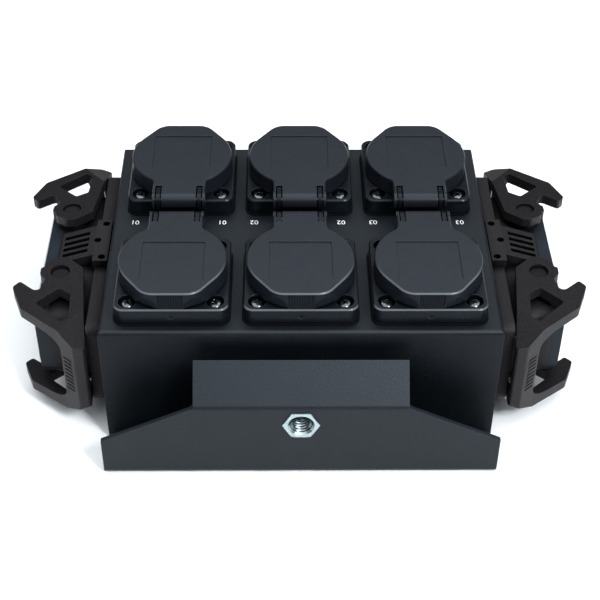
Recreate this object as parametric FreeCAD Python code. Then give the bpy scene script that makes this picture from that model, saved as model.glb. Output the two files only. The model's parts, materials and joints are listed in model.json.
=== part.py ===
# Power split box: six lidded sockets on a sheet metal box, a lever-locked connector on each side.
# Millimetres. The origin is the centre of the box's underside, +Z is up, the hanging bracket faces -Y,
# and the two connectors look along -X and +X.
import FreeCAD, Part
import math
import os

Vector = FreeCAD.Vector

# Enclosure; its width and depth follow from the sockets and these margins round them
box_height = 65.0
side_margin = 6.8
end_margin = 5.2
shell_sheet = 1.5
shell_bend_radius = 2.0
return_flange_width = 12.0

# Base plate and hanging bracket, one folded sheet
base_sheet = 2.0
base_bend_radius = 1.0
bracket_reach = 22.4
bracket_shoulder_height = 21.0
bracket_bend_height = 41.3
bracket_flange_length = 20.9
bracket_flange_tilt = 45.0
bracket_top_width = 93.4
relief_notch_depth = 2.5
relief_notch_length = 4.0

# Press nut for the hanging clamp's bolt
nut_drop = 10.1
nut_across_flats = 14.4
nut_proud = 0.6
nut_collar_radius = 8.5
nut_collar_thickness = 2.0
nut_body_radius = 7.0
nut_body_length = 8.0
nut_thread_radius = 4.25
nut_mouth_radius = 5.9

# Screws that hold the base plate
base_screw_radius = 2.0
base_screw_head_radius = 4.0
base_screw_length = 12.0
base_screw_margin = 18.0

# Earth stud on the base plate
earth_stud_radius = 3.0
earth_stud_length = 16.0
earth_stud_clearance = 4.0
earth_nut_radius = 5.8
earth_nut_thickness = 5.0
earth_washer_radius = 6.5
earth_washer_thickness = 1.2

# Socket pattern on the top panel
socket_pitch = 56.2
hinge_row_gap = 14.8
channels = (1, 2, 3)

# Socket base; heights are above the top panel, the hinge is on the local +Y side
socket_side = 50.0
socket_height = 8.5
socket_corner_radius = 4.5
socket_edge_chamfer = 0.6
gasket_thickness = 0.8
gasket_lip = 0.7
well_radius = 19.6
well_wall = 1.5
well_rim_height = 11.4
well_depth = 18.0
panel_hole_clearance = 0.5
guide_rib_depth = 1.6
guide_rib_width = 5.4
guide_rib_drop = 2.0
socket_screw_offset = 19.0
socket_screw_radius = 1.75
socket_screw_head_radius = 3.1
socket_screw_head_height = 1.9
socket_screw_length = 14.0
counterbore_radius = 4.1
counterbore_depth = 2.6
gate_mark_radius = 1.2
gate_mark_depth = 0.4

# Contact carrier below the well
carrier_fit = 0.1
carrier_lip = 2.0
carrier_flange_thickness = 3.0
carrier_body_radius = 17.0
carrier_length = 22.4
contact_offset = 9.5
contact_hole_radius = 2.5
contact_bore_radius = 3.2
contact_wall = 0.6
contact_roof = 2.0
contact_tail = 2.0
earth_clip_width = 6.0
earth_clip_sheet = 0.8
earth_clip_height = 13.0
earth_clip_bow = 1.5
earth_clip_wall_gap = 0.4

# Hinge of a lid
hinge_reach = 6.4
hinge_height = 13.5
hinge_pin_radius = 1.25
hinge_pin_fit = 0.05
hinge_lug_offset = 9.5
hinge_lug_width = 2.0
hinge_lug_radius = 3.8
hinge_side_gap = 0.45
hinge_root_gap = 0.5
lug_shoulder_height = 11.2
lug_top_start = 0.7
lug_top_drop = 0.2
lug_corner_radius = 0.6
lug_foot_height = 2.0
spring_outer_radius = 2.9
spring_end_gap = 0.5

# Lid
lid_radius = 23.9
lid_front_lead = 0.9
lid_foot_lead = 0.8
lid_flare_lead = 2.5
lid_flat_half = 11.3
lid_front_corner_radius = 8.5
lid_top_height = 17.5
lid_top_thickness = 2.3
lid_wall = 1.5
lid_gap = 0.3
lid_edge_chamfer = 0.6
neck_width = 24.6
neck_blend_radius = 4.0
neck_slot_start = 0.3
neck_end_radius = 4.0
tongue_drop = 1.3
tongue_spring_gap = 0.4
cheek_height = 9.4
label_width = 28.0
label_back = 10.8
label_front = 15.4
label_depth = 0.5
label_corner_radius = 1.0
tab_half_width = 5.7
tab_depth = 0.4
tab_top_gap = 1.1
seal_width = 2.6
seal_gap = 0.3

# Connector on a side wall; its levels are measured out from the wall, lengths along Y, heights along Z
connector_lift = 1.9
connector_corner_radius = 5.0
connector_gasket = 1.0
flange_top = 7.0
flange_end_ledge = 11.5
flange_side_ledge = 2.9
flange_screw_end_margin = 7.0
flange_screw_side_margin = 6.8
flange_screw_radius = 2.1
flange_screw_hole_fit = 0.15
flange_screw_head_radius = 3.3
flange_screw_head_height = 2.4
flange_screw_reach = 6.0
collar_top = 31.0
collar_end_draft = 1.5
collar_side_draft = 1.75
collar_end_wall = 3.0
collar_side_wall = 2.75
collar_corner_radius = 7.0
cavity_end_gap = 2.5
cavity_side_gap = 1.5
cavity_corner_radius = 3.0
rim_seal_width = 5.0
rim_seal_thickness = 1.2
rim_seal_cap = 0.6
throat_inset = 0.3
insert_back_gap = 0.6
insert_front_length = 80.0
insert_front_height = 27.0
insert_end_shoulder = 2.1
insert_side_shoulder = 3.1
insert_front_proud = 2.2
insert_carrier_gap = 0.6
insert_pocket_wall = 2.5
insert_pocket_depth = 18.0
insert_corner_radius = 2.0
pole_columns = 8
pole_pitch = 8.6
pole_row_offset = 6.4
pin_radius = 1.4
pin_length = 16.0
pole_hole_radius = 2.0
pole_hole_depth = 6.0
contact_sleeve_wall = 0.5

# Grip boss in the middle of each long side of the connector
boss_bed = 1.2
boss_half_length = 10.8
boss_foot_half_length = 15.2
boss_foot_top = 8.0
boss_rise = 7.0
boss_slope_end = 24.2
boss_slope_rise = 2.0
boss_slot_count = 4
boss_slot_width = 2.4
boss_slot_pitch = 4.2
boss_slot_depth = 2.4
boss_slot_start = 11.0
boss_slot_end = 23.2
boss_hole_radius = 1.7
boss_hole_depth = 4.0
boss_hole_spacing = 24.6
boss_hole_level = 3.8
boss_mid_hole_level = 6.8

# Locking levers; their outline is measured from the pivot
pivot_spacing = 47.0
pivot_level = 21.5
pivot_boss_radius = 6.5
pivot_pin_radius = 4.4
pivot_pin_fit = 0.05
pivot_shank_radius = 2.5
pivot_recess = 1.6
lever_arm_thickness = 4.8
lever_arm_gap = 0.4
lever_collar_gap = 2.7
lever_outer_taper = 0.075
lever_inner_taper = 0.1
lever_window_end = 37.5
lever_window_radius = 7.0
lever_fold_along = 36.7
lever_fold_out = -2.3
lever_fold_turn = 133.6
lever_fold_slope = 28.0
lever_outline = (
    (-2.4, -10.2, 1.5), (-9.4, -2.4, 2.0), (-9.5, 1.6, 2.5), (-5.8, 7.0, 2.5), (-3.0, 7.4, 0.6),
    (-2.2, 9.0, 1.0), (1.8, 8.9, 1.5), (5.0, 6.2, 1.8), (13.8, 8.3, 2.5), (6.4, 17.4, 1.2), (9.9, 20.4, 2.0),
    (23.1, 15.3, 3.0), (36.7, -2.3, 4.0), (42.8, -9.5, 1.5), (42.3, -14.8, 1.5),
)
lever_cutout = (
    (10.8, -0.8, 1.0), (19.8, 9.0, 1.5), (31.6, -3.6, 1.2), (29.0, -7.0, 1.2), (14.4, -6.2, 1.2),
)

# Wiring inside: one run per channel from connector to connector, with a branch to its two sockets
wire_radius = 2.5
wire_drop = 5.6
wire_spacing = 18.0
branch_radius = 2.0
branch_drop = 6.4

# Values worked out from the sizes above
well_floor = well_rim_height - well_depth
well_bottom = well_floor - carrier_lip
well_outer_radius = well_radius + well_wall
carrier_bottom = well_bottom - carrier_length
branch_level = box_height + carrier_bottom - branch_drop
wire_level = branch_level - wire_drop
hinge_offset = socket_side / 2 + hinge_reach
socket_row_offset = hinge_offset + hinge_row_gap / 2
outer_socket_offset = (len(channels) - 1) / 2 * socket_pitch
box_width = 2 * outer_socket_offset + socket_side + 2 * side_margin
box_depth = 2 * socket_row_offset + socket_side + 2 * end_margin
lid_front = lid_radius + lid_front_lead
lid_foot_radius = lid_radius + lid_foot_lead
lid_flare_radius = lid_radius + lid_flare_lead
lid_bottom = socket_height + lid_gap
lid_ceiling = lid_top_height - lid_top_thickness
lug_inner = hinge_lug_offset - hinge_lug_width / 2
lug_outer = hinge_lug_offset + hinge_lug_width / 2
connector_level = box_height / 2 + connector_lift
insert_back_length = insert_front_length + 2 * insert_end_shoulder
insert_back_height = insert_front_height + 2 * insert_side_shoulder
insert_back_reach = box_width / 2 - outer_socket_offset - carrier_body_radius - insert_carrier_gap
throat_length = insert_back_length + 2 * insert_back_gap
throat_height = insert_back_height + 2 * insert_back_gap
wall_opening_length = throat_length + 2 * throat_inset
wall_opening_height = throat_height + 2 * throat_inset
collar_cavity_length = insert_front_length + 2 * cavity_end_gap
collar_cavity_height = insert_front_height + 2 * cavity_side_gap
collar_rim_length = collar_cavity_length + 2 * collar_end_wall
collar_rim_height = collar_cavity_height + 2 * collar_side_wall
collar_foot_length = collar_rim_length + 2 * collar_end_draft
collar_foot_height = collar_rim_height + 2 * collar_side_draft
connector_length = collar_foot_length + 2 * flange_end_ledge
connector_height = collar_foot_height + 2 * flange_side_ledge
flange_screw_length_spacing = connector_length - 2 * flange_screw_end_margin
flange_screw_height_spacing = connector_height - 2 * flange_screw_side_margin
boss_height = collar_foot_height / 2 + boss_rise
boss_slope_height = collar_foot_height / 2 + boss_slope_rise
arm_inner = collar_foot_height / 2 + lever_collar_gap
lever_half_height = arm_inner + lever_arm_thickness
lever_span = connector_length / 2
lever_blank_half = lever_half_height + lever_outer_taper * lever_span
pivot_boss_top = arm_inner - lever_inner_taper * pivot_boss_radius - lever_arm_gap
bracket_front = -box_depth / 2 - bracket_reach
nut_height = bracket_bend_height - nut_drop
base_screw_spread = box_width / 2 - base_screw_margin
edge_tolerance = 0.01


def on_xy(height):
    """Place plane points (a, b) as (x, y) at a height."""
    return lambda point: Vector(point.x, point.y, height)


def on_xz(y):
    """Place plane points (a, b) as (x, z)."""
    return lambda point: Vector(point.x, y, point.y)


def on_yz(x):
    """Place plane points (a, b) as (y, z)."""
    return lambda point: Vector(x, point.x, point.y)


def rounded_wire(corners, place):
    """Closed wire through (a, b, radius) corners, with a tangent arc at each corner that has a radius."""
    points = [Vector(a, b, 0) for a, b, radius in corners]
    bends = []
    for index, (a, b, radius) in enumerate(corners):
        here = points[index]
        if radius <= 0:
            bends.append((here, None, here))
            continue
        back = (points[index - 1] - here).normalize()
        ahead = (points[(index + 1) % len(points)] - here).normalize()
        half_angle = back.getAngle(ahead) / 2
        run = radius / math.tan(half_angle)
        inward = (back + ahead).normalize()
        middle = here + inward * (radius / math.sin(half_angle) - radius)
        bends.append((here + back * run, middle, here + ahead * run))
    edges = []
    for index, (start, middle, end) in enumerate(bends):
        if middle is not None:
            edges.append(Part.Arc(place(start), place(middle), place(end)).toShape())
        following = bends[(index + 1) % len(bends)][0]
        if end.distanceToPoint(following) > 1e-6:
            edges.append(Part.LineSegment(place(end), place(following)).toShape())
    return Part.Wire(edges)


def rectangle(length_a, length_b, radius=0.0):
    """Corners of a rectangle about the origin, for rounded_wire."""
    a, b = length_a / 2, length_b / 2
    return [(-a, -b, radius), (a, -b, radius), (a, b, radius), (-a, b, radius)]


def prism(corners, place, along):
    """Solid with a rounded outline, pushed along a vector."""
    return Part.Face(rounded_wire(corners, place)).extrude(along)


def block(x_range, y_range, z_range):
    """Box between two corners."""
    sizes = [high - low for low, high in (x_range, y_range, z_range)]
    return Part.makeBox(*sizes, Vector(x_range[0], y_range[0], z_range[0]))


def disc(radius, low, high, x=0.0, y=0.0):
    """Upright cylinder between two heights."""
    return Part.makeCylinder(radius, high - low, Vector(x, y, low))


def rod(radius, start, end):
    """Cylinder from point to point."""
    return Part.makeCylinder(radius, (end - start).Length, start, end - start)


def joined(first, *others):
    """One clean solid from touching pieces."""
    return first.fuse(list(others)).removeSplitter()


def without(shape, *tools):
    """Shape with the tools cut away."""
    return shape.cut(list(tools)).removeSplitter()


def moved(shape, place, turn=0.0):
    """Copy turned about the vertical through the origin, then carried to a place."""
    copy = shape.copy()
    copy.rotate(Vector(0, 0, 0), Vector(0, 0, 1), turn)
    copy.translate(place)
    return copy


def flipped(shape):
    """Copy turned half round about the connector's own outward axis."""
    copy = shape.copy()
    copy.rotate(Vector(0, 0, 0), Vector(1, 0, 0), 180)
    return copy


def socket_places():
    """Name, place and turn of each socket: the hinges of the two rows face each other."""
    for channel in channels:
        x = (channel - (len(channels) + 1) / 2) * socket_pitch
        yield f"front_{channel}", Vector(x, -socket_row_offset, box_height), 0.0
        yield f"back_{channel}", Vector(x, socket_row_offset, box_height), 180.0


def connector_places():
    """Name, place and turn of each connector."""
    yield "right", Vector(box_width / 2, 0, connector_level), 0.0
    yield "left", Vector(-box_width / 2, 0, connector_level), 180.0


def four(offset_a, offset_b):
    """The four sign combinations of a pair of offsets."""
    return [(sign_a * offset_a, sign_b * offset_b) for sign_a in (-1, 1) for sign_b in (-1, 1)]


def flange_screw_places():
    """Flange screws of a connector, as (y, z) from its centre."""
    return four(flange_screw_length_spacing / 2, flange_screw_height_spacing / 2)


def base_screw_places():
    """Base plate screws, along the middle of the front and back return flanges."""
    y = box_depth / 2 - shell_sheet - return_flange_width / 2
    return [(x, side * y) for x in (-base_screw_spread, 0, base_screw_spread) for side in (-1, 1)]


def enclosure_shell():
    """Folded cover: top, four walls and two return flanges, with the socket and connector openings."""
    outer = block((-box_width / 2, box_width / 2), (-box_depth / 2, box_depth / 2), (base_sheet, box_height))
    top_edges = [edge for edge in outer.Edges if edge.BoundBox.ZMin > box_height - edge_tolerance]
    outer = outer.makeFillet(shell_bend_radius, top_edges)
    inner_x = box_width / 2 - shell_sheet
    inner_y = box_depth / 2 - shell_sheet
    mouth_y = inner_y - return_flange_width
    cuts = [
        block((-inner_x, inner_x), (-inner_y, inner_y), (base_sheet + shell_sheet, box_height - shell_sheet)),
        block((-inner_x, inner_x), (-mouth_y, mouth_y), (base_sheet, box_height - shell_sheet)),
    ]
    panel_hole_radius = well_outer_radius + panel_hole_clearance
    for name, place, turn in socket_places():
        cuts.append(disc(panel_hole_radius, connector_level, box_height, place.x, place.y))
        for dx, dy in four(socket_screw_offset, socket_screw_offset):
            cuts.append(disc(socket_screw_radius, connector_level, box_height, place.x + dx, place.y + dy))
    opening = rectangle(wall_opening_length, wall_opening_height)
    across = Vector(box_width, 0, 0)
    lift = Vector(0, 0, connector_level)
    wall_cut = prism(opening, on_yz(-box_width / 2), across)
    wall_cut.translate(lift)
    cuts.append(wall_cut)
    for y, z in flange_screw_places():
        start = Vector(-box_width / 2, y, z) + lift
        cuts.append(rod(flange_screw_radius, start, start + across))
    for x, y in base_screw_places():
        cuts.append(disc(base_screw_radius, 0, base_screw_length, x, y))
    return without(outer, *cuts)


def bracket_profile():
    """Side outline of the base sheet: floor, upright plate and the flange that leans back to the box."""
    tilt = math.radians(bracket_flange_tilt)
    outer = base_bend_radius + base_sheet
    back = box_depth / 2
    tip_y = bracket_front + bracket_flange_length * math.sin(tilt)
    tip_z = bracket_bend_height + bracket_flange_length * math.cos(tilt)
    inner_bend_z = bracket_bend_height - base_sheet * math.tan(tilt / 2)
    return [
        (back, 0, 0), (bracket_front, 0, outer), (bracket_front, bracket_bend_height, outer),
        (tip_y, tip_z, 0),
        (tip_y + base_sheet * math.cos(tilt), tip_z - base_sheet * math.sin(tilt), 0),
        (bracket_front + base_sheet, inner_bend_z, base_bend_radius),
        (bracket_front + base_sheet, base_sheet, base_bend_radius), (back, base_sheet, 0),
    ]


def nut_hexagon(across_flats):
    """Corners of the nut's hexagon, a corner to each side."""
    corner_radius = across_flats / math.sqrt(3)
    turns = [math.radians(60 * step) for step in range(6)]
    return [(corner_radius * math.cos(t), nut_height + corner_radius * math.sin(t), 0) for t in turns]


def base_plate_bracket():
    """Base plate that runs forward under the box and folds up into the hanging bracket."""
    width = Vector(box_width, 0, 0)
    sheet = prism(bracket_profile(), on_yz(-box_width / 2), width)
    half = box_width / 2
    top_half = bracket_top_width / 2
    front_outline = [
        (-half, 0, 0), (half, 0, 0), (half, bracket_shoulder_height, 0), (top_half, bracket_bend_height, 0),
        (top_half, box_height, 0), (-top_half, box_height, 0), (-top_half, bracket_bend_height, 0),
        (-half, bracket_shoulder_height, 0),
    ]
    sheet = sheet.common(prism(front_outline, on_xz(bracket_front), Vector(0, bracket_reach + box_depth, 0)))
    front = -box_depth / 2
    cuts = [prism(nut_hexagon(nut_across_flats), on_xz(bracket_front), Vector(0, base_sheet, 0))]
    for side in (-1, 1):
        x_range = sorted((side * half, side * (half - relief_notch_depth)))
        cuts.append(block(x_range, (front - relief_notch_length, front), (0, base_sheet)))
    for x, y in base_screw_places():
        cuts.append(Part.makeCone(base_screw_head_radius, base_screw_radius, base_sheet, Vector(x, y, 0)))
    return without(sheet, *cuts)


def nut_point(y):
    """Point on the nut's axis."""
    return Vector(0, y, nut_height)


def clamp_nut():
    """Press nut: hexagon through the plate, collar behind it, thread with a countersunk mouth."""
    back = Vector(0, 1, 0)
    face = bracket_front - nut_proud
    plate_back = bracket_front + base_sheet
    collar_back = plate_back + nut_collar_thickness
    end = collar_back + nut_body_length
    nut = joined(
        prism(nut_hexagon(nut_across_flats), on_xz(face), back * (plate_back - face)),
        rod(nut_collar_radius, nut_point(plate_back), nut_point(collar_back)),
        rod(nut_body_radius, nut_point(collar_back), nut_point(end)),
    )
    mouth_depth = nut_mouth_radius - nut_thread_radius
    mouth = Part.makeCone(nut_mouth_radius, nut_thread_radius, mouth_depth, nut_point(face), back)
    return without(nut, mouth, rod(nut_thread_radius, nut_point(face), nut_point(end)))


def base_screws():
    """Countersunk screws up through the base plate into the return flanges."""
    screws = []
    for x, y in base_screw_places():
        head = Part.makeCone(base_screw_head_radius, base_screw_radius, base_sheet, Vector(x, y, 0))
        screws.append(joined(head, disc(base_screw_radius, base_sheet, base_screw_length, x, y)))
    return Part.makeCompound(screws)


def earth_stud():
    """Welded earth stud with its washer and nut."""
    x = socket_pitch / 2
    flange_edge = box_depth / 2 - shell_sheet - return_flange_width
    y = flange_edge - earth_stud_clearance - earth_washer_radius
    washer_top = base_sheet + earth_washer_thickness
    nut_top = washer_top + earth_nut_thickness
    turns = [math.radians(60 * step) for step in range(6)]
    hexagon = [(x + earth_nut_radius * math.cos(t), y + earth_nut_radius * math.sin(t), 0) for t in turns]
    stud = disc(earth_stud_radius, base_sheet, base_sheet + earth_stud_length, x, y)
    washer = disc(earth_washer_radius, base_sheet, washer_top, x, y).cut(stud)
    nut = prism(hexagon, on_xy(washer_top), Vector(0, 0, nut_top - washer_top)).cut(stud)
    return Part.makeCompound([stud, washer, nut])


def hinge_lug_profile():
    """Side outline of a hinge lug, from the socket base out to the pin."""
    half = socket_side / 2
    root = math.sqrt(lid_radius ** 2 - lug_inner ** 2) + hinge_root_gap
    top = hinge_height + hinge_lug_radius
    low = hinge_height - hinge_lug_radius
    return [
        (root, lug_foot_height, 0), (root, lug_shoulder_height, 0),
        (half + lug_top_start, top - lug_top_drop, lug_corner_radius),
        (hinge_offset, top, 0), (hinge_offset, low, 0), (half, lug_foot_height, 0),
    ]


def socket_base():
    """Moulded socket base: square flange, round well, counterbored corners and two hinge lugs."""
    up = Vector(0, 0, socket_height - gasket_thickness)
    flange = prism(rectangle(socket_side, socket_side, socket_corner_radius), on_xy(gasket_thickness), up)
    top_edges = [edge for edge in flange.Edges if edge.BoundBox.ZMin > socket_height - edge_tolerance]
    flange = flange.makeChamfer(socket_edge_chamfer, top_edges)
    pieces = [disc(well_outer_radius, well_bottom, well_rim_height)]
    for side in (-1, 1):
        start = side * hinge_lug_offset - hinge_lug_width / 2
        along = Vector(hinge_lug_width, 0, 0)
        pieces.append(prism(hinge_lug_profile(), on_yz(start), along))
        eye = Vector(start, hinge_offset, hinge_height)
        pieces.append(rod(hinge_lug_radius, eye, eye + along))
    base = joined(flange, *pieces)
    cuts = [disc(well_radius, well_bottom, well_rim_height)]
    for x, y in four(socket_screw_offset, socket_screw_offset):
        cuts.append(disc(counterbore_radius, socket_height - counterbore_depth, socket_height, x, y))
        cuts.append(disc(socket_screw_radius, gasket_thickness, socket_height, x, y))
    pin_end = Vector(lug_outer, hinge_offset, hinge_height)
    cuts.append(rod(hinge_pin_radius, pin_end - Vector(2 * lug_outer, 0, 0), pin_end))
    gate = Vector(0, -socket_side / 2, (socket_height + gasket_thickness) / 2)
    cuts.append(rod(gate_mark_radius, gate, gate + Vector(0, gate_mark_depth, 0)))
    base = without(base, *cuts)
    ribs = []
    for side in (-1, 1):
        x_range = sorted((side * (well_radius - guide_rib_depth), side * (well_radius + well_wall / 2)))
        rib_top = well_rim_height - guide_rib_drop
        ribs.append(block(x_range, (-guide_rib_width / 2, guide_rib_width / 2), (well_floor, rib_top)))
    return joined(base, *ribs)


def socket_gasket():
    """Flat gasket between a socket flange and the top panel; its lip shows round the flange."""
    side = socket_side + 2 * gasket_lip
    corner = socket_corner_radius + gasket_lip
    sheet = prism(rectangle(side, side, corner), on_xy(0), Vector(0, 0, gasket_thickness))
    cuts = [disc(well_outer_radius, 0, gasket_thickness)]
    for x, y in four(socket_screw_offset, socket_screw_offset):
        cuts.append(disc(socket_screw_radius, 0, gasket_thickness, x, y))
    return without(sheet, *cuts)


def socket_screws():
    """The four screws of one socket, seated in their counterbores."""
    seat = socket_height - counterbore_depth
    screws = []
    for x, y in four(socket_screw_offset, socket_screw_offset):
        head = disc(socket_screw_head_radius, seat, seat + socket_screw_head_height, x, y)
        screws.append(joined(head, disc(socket_screw_radius, seat - socket_screw_length, seat, x, y)))
    return screws


def socket_carrier():
    """Contact carrier: a plug that closes the well from below, with two contact bores."""
    flange_bottom = well_bottom - carrier_flange_thickness
    carrier = joined(
        disc(well_radius - carrier_fit, well_bottom, well_floor),
        disc(well_outer_radius, flange_bottom, well_bottom),
        disc(carrier_body_radius, carrier_bottom, flange_bottom),
    )
    cuts = []
    for side in (-1, 1):
        x = side * contact_offset
        cuts.append(disc(contact_hole_radius, well_floor - contact_roof, well_floor, x))
        cuts.append(disc(contact_bore_radius, carrier_bottom, well_floor - contact_roof, x))
    return without(carrier, *cuts)


def socket_contacts():
    """The two contact sleeves of one socket."""
    top = well_floor - contact_roof
    sleeves = []
    for side in (-1, 1):
        x = side * contact_offset
        sleeve = disc(contact_bore_radius, carrier_bottom - contact_tail, top, x)
        sleeves.append(sleeve.cut(disc(contact_bore_radius - contact_wall, carrier_bottom, top, x)))
    return sleeves


def earth_clips():
    """The two bowed earth strips of one socket, standing on the well floor."""
    foot = well_radius - earth_clip_wall_gap - earth_clip_sheet
    belly = foot - earth_clip_bow
    middle = well_floor + earth_clip_height / 2
    top = well_floor + earth_clip_height
    thick = earth_clip_sheet
    strip = [
        (foot, well_floor, 0), (foot + thick, well_floor, 0), (belly + thick, middle, 0),
        (foot + thick, top, 0), (foot, top, 0), (belly, middle, 0),
    ]
    clip = prism(strip, on_yz(-earth_clip_width / 2), Vector(earth_clip_width, 0, 0))
    return [clip, moved(clip, Vector(0, 0, 0), 180)]


def lid_plug(low, high):
    """Solid with the lid's outline between two heights: a circle, two tangent lines and a blunt front."""
    flat_angle = math.atan2(lid_flat_half, lid_front)
    corner_distance = math.hypot(lid_flat_half, lid_front)
    tangent = flat_angle + math.acos(lid_radius / corner_distance)
    touch = Vector(lid_radius * math.sin(tangent), -lid_radius * math.cos(tangent), 0)
    nose = [
        (-touch.x, touch.y, 0), (-lid_flat_half, -lid_front, lid_front_corner_radius),
        (lid_flat_half, -lid_front, lid_front_corner_radius), (touch.x, touch.y, 0),
    ]
    return joined(disc(lid_radius, low, high), prism(nose, on_xy(low), Vector(0, 0, high - low)))


def lid_skirt():
    """Wall of a lid: round at its foot, flaring up to the blunt front, with a straight thumb tab."""
    rise = lid_ceiling - lid_bottom
    flare = Part.makeCone(lid_foot_radius, lid_flare_radius, rise, Vector(0, 0, lid_bottom))
    tab_x = (-tab_half_width, tab_half_width)
    tab = block(tab_x, (tab_depth - lid_front, 0), (lid_bottom, lid_ceiling))
    wall = joined(lid_plug(lid_bottom, lid_ceiling).common(flare), tab)
    return without(wall, disc(lid_radius - lid_wall, lid_bottom, lid_ceiling))


def lid_top_plate():
    """Top of a lid with the neck that runs to the hinge, edges eased."""
    rise = Vector(0, 0, lid_top_thickness)
    half = neck_width / 2
    neck = [(-half, 0, 0), (half, 0, 0), (half, hinge_offset, 0), (-half, hinge_offset, 0)]
    plate = joined(lid_plug(lid_ceiling, lid_top_height), prism(neck, on_xy(lid_ceiling), rise))
    junction_y = math.sqrt(lid_radius ** 2 - half ** 2)
    corners = []
    for edge in plate.Edges:
        box = edge.BoundBox
        upright = box.XLength < edge_tolerance and box.YLength < edge_tolerance
        beside_neck = abs(abs(box.XMin) - half) < edge_tolerance
        if upright and beside_neck and abs(box.YMin - junction_y) < edge_tolerance:
            corners.append(edge)
    plate = plate.makeFillet(neck_blend_radius, corners)
    rim = []
    for edge in plate.Edges:
        box = edge.BoundBox
        on_top = box.ZMin > lid_top_height - edge_tolerance
        if on_top and box.YMin < hinge_offset - edge_tolerance:
            rim.append(edge)
    return plate.makeChamfer(lid_edge_chamfer, rim)


def lid_cheek():
    """Side wall of the neck that carries the hinge eye."""
    half = socket_side / 2
    root = math.sqrt(lid_radius ** 2 - (neck_width / 2) ** 2) - lid_wall / 2
    low = hinge_height - neck_end_radius
    top = lid_top_height - lid_edge_chamfer
    profile = [
        (root, cheek_height, 0), (half, cheek_height, 0), (hinge_offset, low, 0),
        (hinge_offset, top, 0), (root, top, 0),
    ]
    inner = lug_outer + hinge_side_gap
    along = Vector(neck_width / 2 - inner, 0, 0)
    eye = Vector(inner, hinge_offset, hinge_height)
    cheek = joined(prism(profile, on_yz(inner), along), rod(neck_end_radius, eye, eye + along))
    return without(cheek, rod(hinge_pin_radius + hinge_pin_fit, eye, eye + along))


def lid():
    """Spring lid: a shallow cup with a blunt front, a label recess, a thumb tab and a slotted hinge neck.

    The slots are round about the hinge, so the lugs can stand flush. Between them the neck wraps the spring.
    """
    slot_inner = lug_inner - hinge_side_gap
    slot_outer = lug_outer + hinge_side_gap
    slot_start = socket_side / 2 + neck_slot_start
    past_end = hinge_offset + neck_end_radius
    above = lid_top_height
    left = Vector(-slot_inner, hinge_offset, hinge_height)
    right = Vector(slot_inner, hinge_offset, hinge_height)
    tongue = (-slot_inner, slot_inner)
    shell = joined(lid_top_plate(), lid_skirt(), rod(neck_end_radius, left, right))
    cuts = [
        block(tongue, (hinge_offset - neck_end_radius, hinge_offset), (0, hinge_height)),
        block(tongue, (hinge_offset, past_end), (0, hinge_height - tongue_drop)),
        rod(spring_outer_radius + tongue_spring_gap, left, right),
    ]
    slot_reach = math.hypot(hinge_offset - slot_start, lid_top_height - hinge_height)
    for low, high in ((-slot_outer, -slot_inner), (slot_inner, slot_outer)):
        cuts.append(block((low, high), (slot_start, past_end), (0, above)))
        slot_eye = Vector(low, hinge_offset, hinge_height)
        cuts.append(rod(slot_reach, slot_eye, slot_eye + Vector(high - low, 0, 0)))
    label_half = label_width / 2
    label = [
        (-label_half, -label_front, label_corner_radius), (label_half, -label_front, label_corner_radius),
        (label_half, label_back, label_corner_radius), (-label_half, label_back, label_corner_radius),
    ]
    cuts.append(prism(label, on_xy(lid_top_height - label_depth), Vector(0, 0, label_depth)))
    tab_x = (-tab_half_width, tab_half_width)
    cuts.append(block(tab_x, (-lid_front, tab_depth - lid_front), (lid_bottom, lid_top_height - tab_top_gap)))
    shell = without(shell, *cuts)
    cheek = lid_cheek()
    mirrored = cheek.mirror(Vector(0, 0, 0), Vector(1, 0, 0))
    return joined(shell, cheek, mirrored)


def lid_seal():
    """Ring under the lid that presses on the well's rim."""
    middle = well_radius + well_wall / 2
    bottom = well_rim_height + seal_gap
    ring = disc(middle + seal_width / 2, bottom, lid_ceiling)
    return ring.cut(disc(middle - seal_width / 2, bottom, lid_ceiling))


def hinge_pin():
    """Hinge pin, tight in the lugs and free in the lid's cheeks."""
    start = Vector(-neck_width / 2, hinge_offset, hinge_height)
    return rod(hinge_pin_radius, start, start + Vector(neck_width, 0, 0))


def lid_spring():
    """Coil space of the torsion spring on the hinge pin, between the lugs."""
    half = lug_inner - spring_end_gap
    left = Vector(-half, hinge_offset, hinge_height)
    right = Vector(half, hinge_offset, hinge_height)
    return rod(spring_outer_radius, left, right).cut(rod(hinge_pin_radius, left, right))


def collar_section(level, inset):
    """Wire of the tapered collar's outside at a level above the wall."""
    share = (level - flange_top) / (collar_top - flange_top)
    length = collar_foot_length + share * (collar_rim_length - collar_foot_length) - 2 * inset
    height = collar_foot_height + share * (collar_rim_height - collar_foot_height) - 2 * inset
    return rounded_wire(rectangle(length, height, collar_corner_radius - inset), on_yz(level))


def collar_solid(low, high, inset=0.0):
    """Tapered solid of the collar's outside between two levels."""
    return Part.makeLoft([collar_section(low, inset), collar_section(high, inset)], True, True)


def collar_cavity(low, high):
    """Straight hollow through the collar."""
    outline = rectangle(collar_cavity_length, collar_cavity_height, cavity_corner_radius)
    return prism(outline, on_yz(low), Vector(high - low, 0, 0))


def boss_slope(level):
    """Height of the grip boss's sloping face at a level above the wall."""
    share = (level - boss_foot_top) / (boss_slope_end - boss_foot_top)
    return boss_height + share * (boss_slope_height - boss_height)


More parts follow.
